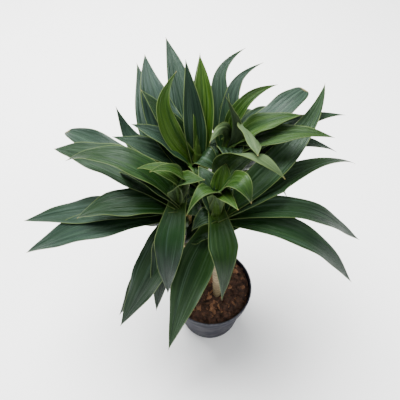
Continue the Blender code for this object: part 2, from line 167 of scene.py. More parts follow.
def noise(tree, place, scale, detail=4.0, roughness=0.55):
    """Soft noise from 0 to 1 at this place."""
    given = {"Vector": place, "Scale": scale, "Detail": detail, "Roughness": roughness}
    return node(tree, "TexNoise", given).outputs[0]


def colour(red, green, blue):
    return (red, green, blue, 1.0)


def new_finish(name, roughness):
    """A material, its node tree, its Principled shader, and the Object coordinates that its patterns
    read."""
    made = bpy.data.materials.new(name)
    made.use_nodes = True
    tree = made.node_tree
    shader = tree.nodes["Principled BSDF"]
    shader.inputs["Roughness"].default_value = roughness
    return made, tree, shader, node(tree, "TexCoord").outputs["Object"]


def surface_grain():
    """Group: grain for moulded, woody and earthy surfaces. Height is fine noise, Mottle is broad noise."""
    group = bpy.data.node_groups.new("surface_grain", "ShaderNodeTree")
    group.interface.new_socket("Place", in_out="INPUT", socket_type="NodeSocketVector")
    group.interface.new_socket("Grain", in_out="INPUT", socket_type="NodeSocketFloat")
    group.interface.new_socket("Patch", in_out="INPUT", socket_type="NodeSocketFloat")
    group.interface.new_socket("Height", in_out="OUTPUT", socket_type="NodeSocketFloat")
    group.interface.new_socket("Mottle", in_out="OUTPUT", socket_type="NodeSocketFloat")
    given = group.nodes.new("NodeGroupInput")
    result = group.nodes.new("NodeGroupOutput")
    for output, scale in (("Height", "Grain"), ("Mottle", "Patch")):
        texture = noise(group, given.outputs["Place"], given.outputs[scale], 5.0, 0.5)
        group.links.new(ramp(group, texture, 0.3, 0.7), result.inputs[output])
    return group


def placed(tree, group, **inputs):
    """One use of a shared group in a material."""
    made = node(tree, "Group", node_tree=group)
    for title, value in inputs.items():
        if isinstance(value, bpy.types.NodeSocket):
            tree.links.new(value, made.inputs[title])
        else:
            made.inputs[title].default_value = value
    return made


def bumped(tree, shader, height, distance, strength=1.0):
    """Lets a height pattern of this depth, in metres, turn the shader's normal."""
    relief = node(tree, "Bump", {"Height": height, "Distance": distance, "Strength": strength})
    tree.links.new(relief.outputs[0], shader.inputs["Normal"])


GRAIN = surface_grain()


def pot_plastic():
    """Dark blue-grey plastic: mottled a little, dusty in patches, paler along the lip, with a fine grain."""
    made, tree, shader, place = new_finish("pot_plastic", 0.45)
    grain = placed(tree, GRAIN, Place=place, Grain=900.0, Patch=38.0)
    mottle = grain.outputs["Mottle"]
    body = mixed(tree, mottle, colour(0.008, 0.0077, 0.0155), colour(0.013, 0.0128, 0.0230))
    height = node(tree, "SeparateXYZ", {0: place}).outputs[2]
    lip = ramp(tree, height, (POT_HEIGHT - 1.8) * MM, (POT_HEIGHT - 0.3) * MM)
    scuffs = ramp(tree, noise(tree, place, 160.0), 0.3, 0.75, 0.35, 1.0)
    body = mixed(tree, combined(tree, "MULTIPLY", lip, scuffs), body, colour(0.11, 0.112, 0.128))
    dust = ramp(tree, noise(tree, place, 70.0, 8.0, 0.7), 0.56, 0.74, 0.0, 0.25)
    body = mixed(tree, dust, body, colour(0.06, 0.057, 0.054))
    tree.links.new(body, shader.inputs["Base Color"])
    tree.links.new(ramp(tree, mottle, 0.0, 1.0, 0.42, 0.58), shader.inputs["Roughness"])
    shader.inputs["Specular IOR Level"].default_value = 0.1
    bumped(tree, shader, grain.outputs["Height"], 0.00006, 0.5)
    return made


def line_to(first, last, begin, steps):
    """Points along a straight stretch of a profile, from the share begin of its length to its end."""
    shares = np.linspace(begin, 1, steps)
    return [(first[0] + (last[0] - first[0]) * s, first[1] + (last[1] - first[1]) * s) for s in shares]


wall_foot = BAND_FOOT - 3.0
wall_top = BASE_RADIUS + (BAND_RADIUS - 3.0 - BASE_RADIUS) * wall_foot / BAND_FOOT
band_low = BAND_FOOT + BAND_CORNER
pot_profile = [
    (INNERMOST, FOOT_RING_DEPTH),
    (BASE_RADIUS - 7.0, FOOT_RING_DEPTH),
    (BASE_RADIUS - 6.2, 0.0),
    (BASE_RADIUS - BASE_CORNER, 0.0),
    *arc((BASE_RADIUS - BASE_CORNER, BASE_CORNER), BASE_CORNER, -75, 0, 5),
    *line_to((BASE_RADIUS, BASE_CORNER), (wall_top, wall_foot), 0.08, 14),
    *arc((BAND_RADIUS - 1.2, band_low), BAND_CORNER, -80, 0, 6),
    *line_to((BAND_RADIUS, band_low), (LIP_RADIUS - 0.9, band_low + BAND_TAPER), 0.1, 6),
    *arc((LIP_RADIUS - LIP_ROLL, POT_HEIGHT - LIP_ROLL), LIP_ROLL, -55, 165, 14),
    (BAND_RADIUS - WALL + 0.4, BAND_FOOT + 12.0),
    (BAND_RADIUS - WALL, BAND_FOOT + 2.5),
    (wall_top - WALL, BAND_FOOT - 2.0),
    (BASE_RADIUS - WALL + 0.6, FLOOR + 1.0),
    (BASE_RADIUS - WALL - 1.0, FLOOR),
    (INNERMOST, FLOOR),
]
pot = piece("nursery_pot", *turned(pot_profile, POT_SIDES), pot_plastic(), smooth=40)
drills = []
for index in range(DRAIN_COUNT):
    angle = 2 * math.pi * (index + 0.5) / DRAIN_COUNT
    points, quads, fans = turned([(DRAIN_RADIUS, -2.0), (DRAIN_RADIUS, FLOOR + 2.0)], DRILL_SIDES)
    aside = DRAIN_CIRCLE * np.array((math.cos(angle), math.sin(angle), 0))
    drills.append(piece("drill", points + aside, quads, fans))
    cut = pot.modifiers.new("Drain", "BOOLEAN")
    cut.operation = "DIFFERENCE"
    cut.solver = "EXACT"
    cut.object = drills[-1]
drilled = bpy.data.meshes.new_from_object(pot.evaluated_get(bpy.context.evaluated_depsgraph_get()))
pot.modifiers.clear()
pot.data = drilled
for drill in drills:
    bpy.data.objects.remove(drill)
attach(pot, "root")
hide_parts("pot")

# The compost: a damp block of shredded bark and fibre that has taken the pot's shape. Its top is crumbly,
# and bark chips and slivers lie loose on it, from almost black to fresh orange-brown where they broke.
SOIL_LEVEL = 108.0
SOIL_SIDES = 200
GAP = 0.3
CHIP_COUNT = 620
CHIP_ROWS = 4
CHIP_SIDES = 8
LATTICE = 80
SOIL_SEED = 5


def crumble(x, y, cell, numbers):
    """Smooth random lumps of this cell size: random heights on a square lattice, eased from one to the
    next."""
    lattice = numbers.uniform(-1, 1, (LATTICE, LATTICE))
    column = x / cell + LATTICE / 2
    row = y / cell + LATTICE / 2
    i = np.floor(column).astype(int)
    j = np.floor(row).astype(int)
    a = column - i
    b = row - j
    a = a * a * (3 - 2 * a)
    b = b * b * (3 - 2 * b)
    near = lattice[i, j] * (1 - a) + lattice[i + 1, j] * a
    far = lattice[i, j + 1] * (1 - a) + lattice[i + 1, j + 1] * a
    return near * (1 - b) + far * b


def soil_height(x, y):
    """The compost's top: the solid's own low waves, with crumbs of three sizes on them."""
    lump = 1.3 * np.sin(x * 0.19 + 1.0) * np.cos(y * 0.23) + 0.9 * np.sin(0.41 * x - 0.37 * y)
    numbers = np.random.default_rng(SOIL_SEED)
    for cell, depth in ((6.0, 0.9), (2.6, 0.7), (1.6, 0.45)):
        lump = lump + depth * crumble(x, y, cell, numbers)
    return SOIL_LEVEL + 0.6 - 2.0 * (x * x + y * y) / 3600 + lump


def compost_finish(name, darkest, lightest, fresh):
    """Bark compost: mottled red-brown, speckled dark, with a rough matt grain. Tone makes it fresher."""
    made, tree, shader, place = new_finish(name, 0.92)
    grain = placed(tree, GRAIN, Place=place, Grain=1400.0, Patch=210.0)
    body = mixed(tree, grain.outputs["Mottle"], colour(*darkest), colour(*lightest))
    tone = node(tree, "Attribute", attribute_name="tone").outputs["Fac"]
    body = mixed(tree, ramp(tree, tone, 0.35, 1.0), body, colour(*fresh))
    fibre = noise(tree, place, 900.0, 3.0, 0.7)
    body = mixed(tree, ramp(tree, fibre, 0.35, 0.62, 0.62, 0.0), body, colour(0.012, 0.006, 0.004))
    tree.links.new(body, shader.inputs["Base Color"])
    bumped(tree, shader, grain.outputs["Height"], 0.0006, 0.9)
    return made


soil_rim = BAND_RADIUS - WALL - GAP
soil_profile = [
    (INNERMOST, FLOOR + GAP),
    (BASE_RADIUS - WALL - GAP - 1.0, FLOOR + GAP),
    (wall_top - WALL - GAP, BAND_FOOT - 2.0),
    (soil_rim, BAND_FOOT + 2.6),
    *[(radius, SOIL_LEVEL) for radius in np.linspace(1.0, soil_rim - 0.6, 64)[::-1]],
]
points, quads, fans = turned(soil_profile, SOIL_SIDES)
tops = np.abs(points[:, 2] - SOIL_LEVEL) < 1e-6
points[tops, 2] = soil_height(points[tops, 0], points[tops, 1])
edge = np.clip((np.hypot(points[:, 0], points[:, 1]) - soil_rim + 5) / 5, 0, 1)
points[tops, 2] -= 0.8 * edge[tops]
numbers = np.random.default_rng(SOIL_SEED)
tone = 0.5 + 0.35 * crumble(points[:, 0], points[:, 1], 3.5, numbers)
compost = piece(
    "compost",
    points,
    quads,
    fans,
    compost_finish("compost", (0.030, 0.014, 0.009), (0.105, 0.047, 0.026), (0.17, 0.082, 0.045)),
    smooth=70,
    tone=tone,
)
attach(compost, "root")
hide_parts("soil")


def turn_matrices(heading, tilt, lean):
    """Rotation matrices: lean about X, then tilt about Y, then heading about Z, one for each set of
    angles."""
    one = np.ones_like(heading)
    none = np.zeros_like(heading)
    c, s = np.cos(heading), np.sin(heading)
    spin = np.array(((c, -s, none), (s, c, none), (none, none, one)))
    c, s = np.cos(tilt), np.sin(tilt)
    pitch = np.array(((c, none, s), (none, one, none), (-s, none, c)))
    c, s = np.cos(lean), np.sin(lean)
    bank = np.array(((one, none, none), (none, c, -s), (none, s, c)))
    return np.einsum("ijn,jkn,kln->nil", spin, pitch, bank)


def squared(values):
    """Cosines or sines pushed towards 1 and -1, which makes a circle a rounded square."""
    return np.sign(values) * np.abs(values) ** 0.45


def chip_form(rows, sides):
    """A rounded block about the origin, 2 across: a ball made from squared cosines and sines."""
    steep = np.linspace(-0.42, 0.42, rows) * math.pi
    angles = np.arange(sides) * 2 * math.pi / sides
    flat = squared(np.cos(steep))
    x = np.outer(flat, squared(np.cos(angles)))
    y = np.outer(flat, squared(np.sin(angles)))
    z = np.outer(squared(np.sin(steep)), np.ones(sides))
    points = np.concatenate((np.stack((x, y, z), -1).reshape(-1, 3), [(0, 0, -1.0), (0, 0, 1.0)]))
    return points, grid_faces(rows, sides, True), end_fans(rows, sides)


numbers = np.random.default_rng(SOIL_SEED + 1)
form, form_quads, form_fans = chip_form(CHIP_ROWS, CHIP_SIDES)
spread = np.sqrt((np.arange(CHIP_COUNT) + 0.5) / CHIP_COUNT) * (soil_rim - 4.0)
golden = math.pi * (3 - math.sqrt(5))
bearing = np.arange(CHIP_COUNT) * golden + numbers.uniform(-0.4, 0.4, CHIP_COUNT)
large = numbers.random(CHIP_COUNT) ** 2.4
length = 1.3 + 5.4 * large + numbers.uniform(0, 0.8, CHIP_COUNT)
breadth = length * numbers.uniform(0.3, 0.75, CHIP_COUNT)
depth = length * numbers.uniform(0.18, 0.4, CHIP_COUNT)
sizes = np.stack((length, breadth, depth), -1)
heading = numbers.uniform(0, 2 * math.pi, CHIP_COUNT)
tilt = numbers.uniform(-0.5, 0.5, CHIP_COUNT)
turns = turn_matrices(heading, tilt, numbers.uniform(-0.5, 0.5, CHIP_COUNT))
chips = form[None] * sizes[:, None] * (1 + numbers.uniform(-0.22, 0.22, (CHIP_COUNT, len(form), 3)))
chips[..., 0] *= 1 + 0.25 * np.sign(chips[..., 1]) * numbers.uniform(-1, 1, (CHIP_COUNT, 1))
chips = np.einsum("nij,nvj->nvi", turns, chips)
middle = np.stack((spread * np.cos(bearing), spread * np.sin(bearing)), -1)
chips[..., :2] += middle[:, None]
chips[..., 2] += (soil_height(middle[:, 0], middle[:, 1]) + 0.25 * sizes[:, 1])[:, None]
steps = (np.arange(CHIP_COUNT) * len(form))[:, None, None]
chip_tone = np.repeat(numbers.random(CHIP_COUNT) ** 1.6, len(form))
bark = piece(
    "bark_chips",
    chips.reshape(-1, 3),
    (form_quads[None] + steps).reshape(-1, 4),
    (form_fans[None] + steps).reshape(-1, 3),
    compost_finish("bark", (0.046, 0.022, 0.013), (0.150, 0.066, 0.036), (0.42, 0.20, 0.095)),
    smooth=35,
    tone=chip_tone,
)
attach(bark, "root")

# The canes: four woody stems, cut and rooted, that stand in the compost. Each is pale tan with darker cracks
# and ringed by the scars of fallen leaves, and a few dry husks of old leaf bases still cling near its top.
CANE_RADIUS = 6.5
CANE_SUNK = 45.0
SCAR_STEP = 7.5
CANE_STEP = 0.7
CANE_SIDES = 40
HUSK_COUNT = 5
HUSK_ROWS = 9
HUSK_COLUMNS = 13
HUSK_FLARE = 2.6
HUSK_HALF_THICK = 0.2
# For each cane: where it leaves the compost, the top of its green stem, and how long that stem is.
HEADS = {
    "a": ((10.0, -12.0, 100.0), (2.0, 6.0, 330.0), 72.0),
    "b": ((-22.0, -4.0, 100.0), (-44.0, 22.0, 330.0), 72.0),
    "c": ((16.0, 22.0, 100.0), (18.0, 84.0, 358.0), 88.0),
    "d": ((-14.0, 20.0, 100.0), (-20.0, 70.0, 345.0), 86.0),
}


def unit(vectors):
    return vectors / np.linalg.norm(vectors, axis=-1, keepdims=True)


def stem_axes(head):
    """A cane's foot in the compost, its direction, and two directions square to it."""
    low, top, _ = HEADS[head]
    along = unit(np.array(top) - np.array(low))
    across = unit(np.cross((0.0, 1.0, 0.0), along))
    return np.array(low), along, across, np.cross(along, across)


def round_stem(head, heights, radii):
    """A stem about the cane's axis, closed at both ends: radii holds one radius for each height and
    angle."""
    foot, along, across, other = stem_axes(head)
    rows, sides = radii.shape
    angles = np.arange(sides) * 2 * math.pi / sides
    outward = np.cos(angles)[:, None] * across + np.sin(angles)[:, None] * other
    points = foot + heights[:, None, None] * along + radii[..., None] * outward
    ends = np.stack((foot + heights[0] * along, foot + heights[-1] * along))
    points = np.concatenate((points.reshape(-1, 3), ends))
    return points, grid_faces(rows, sides, True), end_fans(rows, sides)


def closed_sheet(face, back):
    """A thin closed shell from two grids of points, its face and its back, joined round the border and
    turned so that every quad looks outward, which the sign of the enclosed volume tells."""
    rows, columns = face.shape[:2]
    count = rows * columns
    points = np.concatenate((face.reshape(-1, 3), back.reshape(-1, 3)))
    front = grid_faces(rows, columns)
    long_side = np.arange(rows) * columns
    end = np.arange(columns)
    borders = (
        (long_side, False),
        (long_side + columns - 1, True),
        (end, True),
        (count - columns + end, False),
    )
    rims = []
    for border, flip in borders:
        rim = np.stack((border[:-1], border[1:], border[1:] + count, border[:-1] + count), -1)
        rims.append(rim[:, ::-1] if flip else rim)
    quads = np.concatenate((front[:, ::-1], front + count, *rims))
    first = points[quads[:, 0]]
    volume = (first * np.cross(points[quads[:, 1]], points[quads[:, 2]])).sum()
    volume += (first * np.cross(points[quads[:, 2]], points[quads[:, 3]])).sum()
    return points, quads[:, ::-1] if volume < 0 else quads


def husk(head, height, angle, tall, span, numbers):
    """The dry base of a fallen leaf: a scrap of a cylinder about the cane that narrows to a ragged end, and
    stands off the bark by the square of its share of the way up."""
    foot, along, across, other = stem_axes(head)
    s = np.linspace(0, 1, HUSK_ROWS)[:, None]
    u = np.linspace(-1, 1, HUSK_COLUMNS)
    bearings = angle + u * span / 2 * (1 - 0.75 * s**1.5)
    outward = np.cos(bearings)[..., None] * across + np.sin(bearings)[..., None] * other
    ragged = numbers.uniform(-1, 1, (HUSK_ROWS, HUSK_COLUMNS)) * s
    levels = height + tall * (s + 0.10 * ragged * s)
    radii = CANE_RADIUS + 0.3 + HUSK_FLARE * s**2 + 0.4 * ragged
    centre = foot + levels[..., None] * along
    face = centre + outward * (radii + HUSK_HALF_THICK)[..., None]
    back = centre + outward * (radii - HUSK_HALF_THICK)[..., None]
    return closed_sheet(face, back)


def cane_finish(name, dark, light):
    """Dry bark: two tones in a fine mottle, darker in the leaf scars, with fine lengthwise cracks."""
    made, tree, shader, place = new_finish(name, 0.72)
    grain = placed(tree, GRAIN, Place=place, Grain=700.0, Patch=75.0)
    body = mixed(tree, grain.outputs["Mottle"], colour(*dark), colour(*light))
    scar = node(tree, "Attribute", attribute_name="scar").outputs["Fac"]
    long_way = node(tree, "Mapping", {0: place, 3: (1.0, 1.0, 0.12)}).outputs[0]
    cracks = noise(tree, long_way, 900.0, 4.0)
    body = mixed(tree, ramp(tree, cracks, 0.5, 0.72, 0.0, 0.7), body, colour(0.095, 0.062, 0.034))
    body = mixed(tree, scar, body, colour(0.085, 0.055, 0.030))
    tree.links.new(body, shader.inputs["Base Color"])
    bumped(tree, shader, cracks, 0.0004, 0.7)
    return made


cane_bark = cane_finish("cane_bark", (0.17, 0.125, 0.062), (0.30, 0.235, 0.125))
scraps = []
for head, (low, top, depth) in HEADS.items():
    reach = np.linalg.norm(np.array(top) - np.array(low)) - depth - GAP
    heights = np.arange(-CANE_SUNK, reach, CANE_STEP)
    angles = np.arange(CANE_SIDES) * 2 * math.pi / CANE_SIDES
    numbers = np.random.default_rng(ord(head))
    lean = 0.5 * np.sin(angles + numbers.uniform(0, 6))[None]
    place = (heights[:, None] + lean) / SCAR_STEP + 0.12 * np.sin(heights[:, None] / 17)
    near_scar = np.exp(-(((place + 0.5) % 1 - 0.5) * SCAR_STEP / 0.75) ** 2)
    radii = CANE_RADIUS - 0.45 + 0.42 * near_scar + 0.12 * np.sin(3 * angles + heights[:, None] / 9)
    radii = radii - 1.2 * np.exp(-(heights[:, None] + CANE_SUNK) / 1.5)
    points, quads, fans = round_stem(head, heights, radii)
    scars = np.concatenate((np.clip(near_scar * 1.2 - 0.35, 0, 1).ravel(), (0, 0)))
    cane = piece("cane_" + head + "_bark", points, quads, fans, cane_bark, scar=scars)
    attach(cane, "root")
    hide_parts("cane_" + head)
    for index in range(HUSK_COUNT):
        tall = numbers.uniform(7, 15)
        height = reach - tall - 2 - index * SCAR_STEP * numbers.uniform(0.7, 1.1)
        bearing = 2.4 * index + numbers.uniform(0, 1)
        scraps.append(husk(head, height, bearing, tall, numbers.uniform(1.6, 2.8), numbers))
steps = np.arange(len(scraps)) * 2 * HUSK_ROWS * HUSK_COLUMNS
husk_points = np.concatenate([points for points, _ in scraps])
husk_quads = np.concatenate([quads + step for (_, quads), step in zip(scraps, steps)])
husk_paper = cane_finish("husk_paper", (0.19, 0.105, 0.042), (0.44, 0.29, 0.125))
unscarred = np.zeros(len(husk_points))
husks = piece("cane_husks", husk_points, husk_quads, finish=husk_paper, smooth=50, scar=unscarred)
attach(husks, "root")

# The leafy heads: each cane ends in a green stem wrapped in leaf bases, with a rolled young leaf at its very
# top and a spiral of strap leaves. A leaf is one waxy blade, pleated along its veins, with a pale rim.
LEAF_ROOT = 4.0
NECK_RADIUS = 7.6
BASE_SHARE = 0.6
POINT_HALF = 0.25
MARGIN_THICK = 0.45
RIB_THICK = 1.25
PLEAT_DEPTH = 0.34
LEAF_ROWS = 57
LEAF_COLUMNS = 25
NECK_ROWS = 150
NECK_SIDES = 48
SPEAR_LENGTH = 34
LEAF_PATTERNS = ("across", "along", "edge", "under", "young", "bloom", "dry", "tone")
LEAVES = {
    "a": (
        # drop, azimuth, reach, rise, arch, sway, width, roll, twist, skew, widest, taper, nod, hook
        (13, -84, 78, -84, 26, 3, 35, 0, 0, 0.5, 0.28, 0.9, 0, 0),
        (40, -118.5, 133, -129, 10, -3, 48, 0, 0, 0.5, 0.32, 1.4, 0, 0),
        (28, -11, 194, -101, 48, -3, 33, 0, 30, 0.4, 0.28, 1.7, 0, 0),
        (24, 5, 208, -84, 47, -4, 31, 0, 25, 0.5, 0.3, 1.7, 0, 0),
        (20, 26, 217, -12, 36, -4, 46, 0, 0, 0.1, 0.34, 0.6, 12, 0),
        (17, 49, 224, 63, 29, -28, 36, 0, 0, 0, 0.36, 1.3, 0, 0),
        (12, 2, 74, 63, 24, 32, 34, 0, 225, 0.1, 0.6, 1.6, 34, 0),
        (6, -60, 42, 54, 22, 0, 22, 0, 0, 0.2, 0.45, 1.8, 0, 0),
        (5, -133, 50, 42, 20, 0, 23, 0, 10, 0.2, 0.45, 1.6, 34, 0),
        (7, -36, 44, 52, 16, 10, 32, 0, 0, 0.2, 0.45, 2.2, 34, 0),
        (34, 40, 130, -40, 34, 0, 34, 0, 0, 0.1, 0.42, 1.7, 0, 0),
        (12, 118, 46, 40, 12, 0, 30, 0, 0, 0.2, 0.42, 1.7, 8, 0),
        (62, 38, 112, -84, 30, 0, 32, 0, 0, 0.2, 0.42, 1.7, 0, 0),
        (24, 72, 52, 26, 14, 0, 30, 0, 0, 0.2, 0.42, 1.7, 8, 0),
        (26, -152, 34, 0, 14, 0, 24, 0, 0, 0.2, 0.45, 1.7, 8, 0),
        (4, 72, 34, 46, 4, 0, 24, 0, 0, 0.1, 0.5, 2.2, 0, 0),
        (44, -166, 42, -18, 8, 0, 34, 0, 0, 0.2, 0.42, 1.7, 0, 0),
    ),
    "b": (
        (27, 176, 220, -50, 11, 0, 40, 0, 0, 0.1, 0.5, 1.7, 0, 0),
        (34, -173, 213, -57, 22, 0, 47, 0, 0, 0.1, 0.42, 1.8, 0, 0),
        (23, -175, 130, -6, 18, 0, 42, 0, 0, 0.1, 0.42, 1.8, 8, 0),
        (19, 153, 194, 8, 22, -4, 50, 0, 0, 0.1, 0.46, 1.9, 0, 0),
        (29, 141, 216, 4, 24, 0, 36, 0, 0, 0.1, 0.5, 3.0, 0, 0),
        (11, 164, 146, 30, 38, 0, 34, 0, 0, 0.2, 0.45, 1.5, 14, 0),
        (11, -102, 80, -99, 26, 0, 36, 0, 0, 0.4, 0.32, 1.4, 0, 0),
        (26, -115, 89, -137, 12, 0, 35, 0, 0, 0.4, 0.34, 1.4, 0, 0),
        (42, -133.5, 132, -137, 8, 4, 51, 0, 0, 0.4, 0.34, 1.5, 0, 0),
        (52, -145, 122, -152, 6, 0, 42, 0, 0, 0.3, 0.36, 1.4, 0, 0),
        (8, 170, 46, 52, 25, 0, 24, 0, 0, 0.4, 0.45, 1.7, 16, 0),
        (4, -162, 30, 62, 22, 0, 20, 0, 0, 0.4, 0.45, 1.7, 16, 0),
        (5, -22, 34, 54, 18, 0, 30, 0, 0, 0.3, 0.45, 1.7, 0, 0),
        (15, 157, 82, 22, 22, 0, 34, 0, 0, 0.1, 0.42, 1.7, 8, 0),
        (40, 139, 184, -22, 34, 0, 36, 0, 0, 0.1, 0.42, 1.7, 0, 0),
        (44, 164, 116, -72, 30, 0, 36, 0, 0, 0.1, 0.42, 1.7, 0, 0),
        (62, 152, 112, -98, 20, 0, 34, 0, 0, 0.2, 0.42, 1.7, 0, 0),
        (16, 118, 44, 22, 14, 0, 28, 0, 0, 0.2, 0.42, 1.7, 8, 0),
        (32, 12, 28, -6, 10, 0, 28, 0, 0, 0.2, 0.42, 1.7, 0, 0),
        (60, 62, 30, -12, 6, 0, 30, 0, 0, 0.2, 0.42, 1.7, 0, 0),
    ),
    "c": (
        (24, 78, 104, 91, 12, 8, 26, 0, 0, 0.2, 0.4, 1.5, 0, -30),
        (28, 62, 91, 90, 14, 7, 23, 0, 0, 0.2, 0.4, 1.5, 0, -26),
        (34, 73, 90, 84, 14, 8, 24, 0, 0, 0.2, 0.42, 1.7, 0, -8),
        (10, 18, 54, 88, 19, 6, 20, 20, 0, 0.2, 0.45, 1.6, 0, -11),
        (24, 31, 111, 63, 20, -10, 33, 0, 0, 0.2, 0.5, 3.2, 0, 0),
        (15, -4, 80, 70, 16, 0, 34, 0, 0, 0.3, 0.45, 1.7, 0, 0),
        (16, -12, 120, 54, 18, -6, 34, 0, 0, 0.1, 0.42, 1.5, 10, 0),
        (36, 19.5, 164, 37, 20, 0, 27, 0, 0, 0.1, 0.44, 1.5, 8, 0),
        (40, 11, 153, -2, 28, 0, 27, 0, 0, 0.2, 0.42, 1.4, 8, 0),
        (5, -122, 46, 48, 17, 0, 15, 60, 120, 0.4, 0.45, 1.7, 12, 0),
        (3, -67, 68, 50, 16, 12, 34, 75, 110, 0.4, 0.5, 1.7, 8, 0),
        (8, -151, 8, 86, 6, 8, 22, 0, 0, 0.2, 0.42, 1.7, 0, 0),
        (34, 6, 92, -12, 28, 0, 36, 0, 0, 0.1, 0.42, 1.7, 0, 0),
        (40, 88, 170, -20, 34, 0, 34, 0, 0, 0.1, 0.42, 1.7, 10, 0),
        (34, 50, 114, 18, 28, 0, 32, 0, 0, 0.1, 0.42, 1.7, 0, 0),
        (46, 64, 138, -24, 34, 0, 34, 0, 0, 0.1, 0.42, 1.7, 10, 0),
        (20, -80, 44, 16, 18, 0, 34, 0, 0, 0.2, 0.42, 1.7, 10, 0),
        (66, 22, 112, -92, 20, 0, 32, 0, 0, 0.2, 0.42, 1.7, 0, 0),
        (68, 82, 128, -86, 28, 0, 34, 0, 0, 0.2, 0.42, 1.7, 0, 0),
        (78, 46, 96, -98, 24, 0, 32, 0, 0, 0.2, 0.42, 1.6, 0, 0),
        (26, 152, 27, 14, 5, 0, 30, 0, 0, 0.2, 0.42, 1.7, 0, 0),
        (46, 40, 110, -58, 6, 0, 36, 0, 0, 0.2, 0.42, 1.7, 0, 0),
        (56, 106, 114, -20, 14, 0, 30, 0, 0, 0.2, 0.42, 1.7, 0, 0),
    ),
    "d": (
        (24, 164, 84, 64, 15, 0, 34, 0, 0, 0.2, 0.42, 1.7, 0, 0),
        (28, 171, 106, 54, 10, 0, 36, 0, 0, 0.2, 0.42, 1.7, 0, 0),
        (33, 146, 129, 58, 0, 18, 41, 0, 0, 0, 0.4, 1.6, -20, 0),
        (27, 119.5, 139, 94, 16, 18, 44, 0, 0, 0.1, 0.42, 1.7, 0, 0),
        (35, 122, 155, 82, 14, 27, 38, 0, 0, 0.6, 0.36, 1.6, 0, 0),
        (26, 105.5, 162, 94, 10, -2, 38, 0, 0, 0.1, 0.42, 1.7, 0, 0),
        (10, 114, 60, 100, 8, 18, 24, 0, 0, 0.2, 0.45, 1.7, 0, -22),
        (14, 101, 76, 106, 8, 0, 27, 0, 0, 0.1, 0.4, 1.5, 0, 0),
        (9, 88.5, 86, 98, 8, -6, 25, 0, 0, 0.2, 0.5, 1.8, 0, 0),
        (30, 89, 119, 101, 10, 0, 25, 0, 0, 0.2, 0.42, 1.7, 0, 0),
        (24, -84, 38, 14, 16, 0, 30, 0, 0, 0.2, 0.42, 1.7, 14, 0),
        (42, 99, 216, -12, 34, 0, 34, 0, 0, 0.1, 0.42, 1.7, 10, 0),
        (46, 142, 130, -4, 30, 0, 32, 0, 0, 0.1, 0.42, 1.7, 8, 0),
        (40, 112, 172, 26, 28, 0, 38, 0, 0, 0.1, 0.42, 1.7, 0, 0),
        (22, -28, 36, 6, 26, 0, 34, 0, 0, 0.2, 0.42, 1.7, 10, 0),
        (60, 116, 130, -74, 28, 0, 34, 0, 0, 0.2, 0.42, 1.7, 0, 0),
        (68, 144, 98, -80, 24, 0, 30, 0, 0, 0.2, 0.42, 1.6, 0, 0),
        (78, 76, 112, -68, 22, 0, 36, 0, 0, 0.2, 0.42, 1.6, 0, 0),
        (46, -90, 26, -16, 10, 0, 26, 0, 0, 0.2, 0.45, 1.7, 8, 0),
        (56, 178, 84, -26, 12, 0, 32, 0, 0, 0.2, 0.42, 1.7, 8, 0),
        (20, 140, 90, 82, 10, 0, 32, 0, 0, 0.2, 0.42, 1.7, 0, 0),
        (58, -88, 74, -50, 14, 0, 22, 0, 0, 0.2, 0.42, 1.7, 0, 0),
        (44, -132, 30, -14, 8, 0, 30, 0, 0, 0.2, 0.42, 1.7, 0, 0),
    ),
}
# How young each leaf is, by its number in the list above, counted from 1: 0 is dark and full grown, 1 just
# unrolled. The leaves that aren't named are full grown.
YOUTH = {
    "a": {1: 0.12, 2: 0.12, 6: 0.1, 7: 0.4, 8: 0.7, 9: 0.4, 10: 0.45, 16: 0.6},
    "b": {6: 0.1, 11: 0.45, 12: 0.5, 13: 0.4},
    "c": {4: 0.5, 6: 0.55, 7: 0.35, 10: 0.35, 11: 0.35},
    "d": {7: 0.8, 9: 0.85, 11: 0.3},
}
# How strong the painted sheen is on a leaf, for those that have it: a grey-blue painted reflection of the
# sky.
PAINTED_SHEEN = {
    "a": {2: 0.25, 3: 0.3, 4: 0.3, 6: 0.3},
    "b": {1: 0.7, 2: 0.9, 4: 0.1, 5: 0.6, 7: 0.4, 8: 0.2, 9: 0.2},
    "c": {1: 0.7, 2: 0.6, 3: 0.6, 5: 0.6, 8: 0.3, 9: 0.3, 12: 0.8},
    "d": {1: 0.7, 2: 0.4, 3: 0.7, 4: 0.9, 5: 0.9, 6: 0.6, 8: 0.6, 10: 0.6},
}
# How far a leaf has dried to papery tan, for those that have.
DRIED = {"a": {}, "b": {20: 1.0}, "c": {}, "d": {}}
# How deeply a leaf is folded along its middle, where that is more than the common channel.
FOLDS = {"a": {}, "b": {8: 0.5}, "c": {12: 0.6}, "d": {1: 0.45, 8: 0.7, 9: 0.4}}


def leaf_line(start, row, t):
    """Centreline of a leaf, and the direction across it: a cubic from its stem to its tip, with the droop
    and the curl of the last third."""
    _, azimuth, reach, rise, arch, sway, _, _, _, skew, _, _, nod, hook = row
    angle = math.radians(azimuth)
    out = np.array((math.cos(angle), math.sin(angle), 0.0))
    side = np.array((-math.sin(angle), math.cos(angle), 0.0))
    up = np.array((0.0, 0.0, 1.0))
    end = start + out * (reach - LEAF_ROOT) + up * (rise + nod) - side * hook
    chord = unit(end - start)
    bow = 4 / 3 * (unit(up - (up @ chord) * chord) * arch + side * sway)
    first = start + (end - start) / 3 + bow * (1 + skew)
    second = start + (end - start) * 2 / 3 + bow * (1 - skew)
    t = t[:, None]
    late = np.clip((t - 0.65) / 0.35, 0, None) ** 2
    curve = (1 - t) ** 3 * start + 3 * (1 - t) ** 2 * t * first + 3 * (1 - t) * t**2 * second + t**3 * end
    return curve + late * (side * hook - up * nod), side


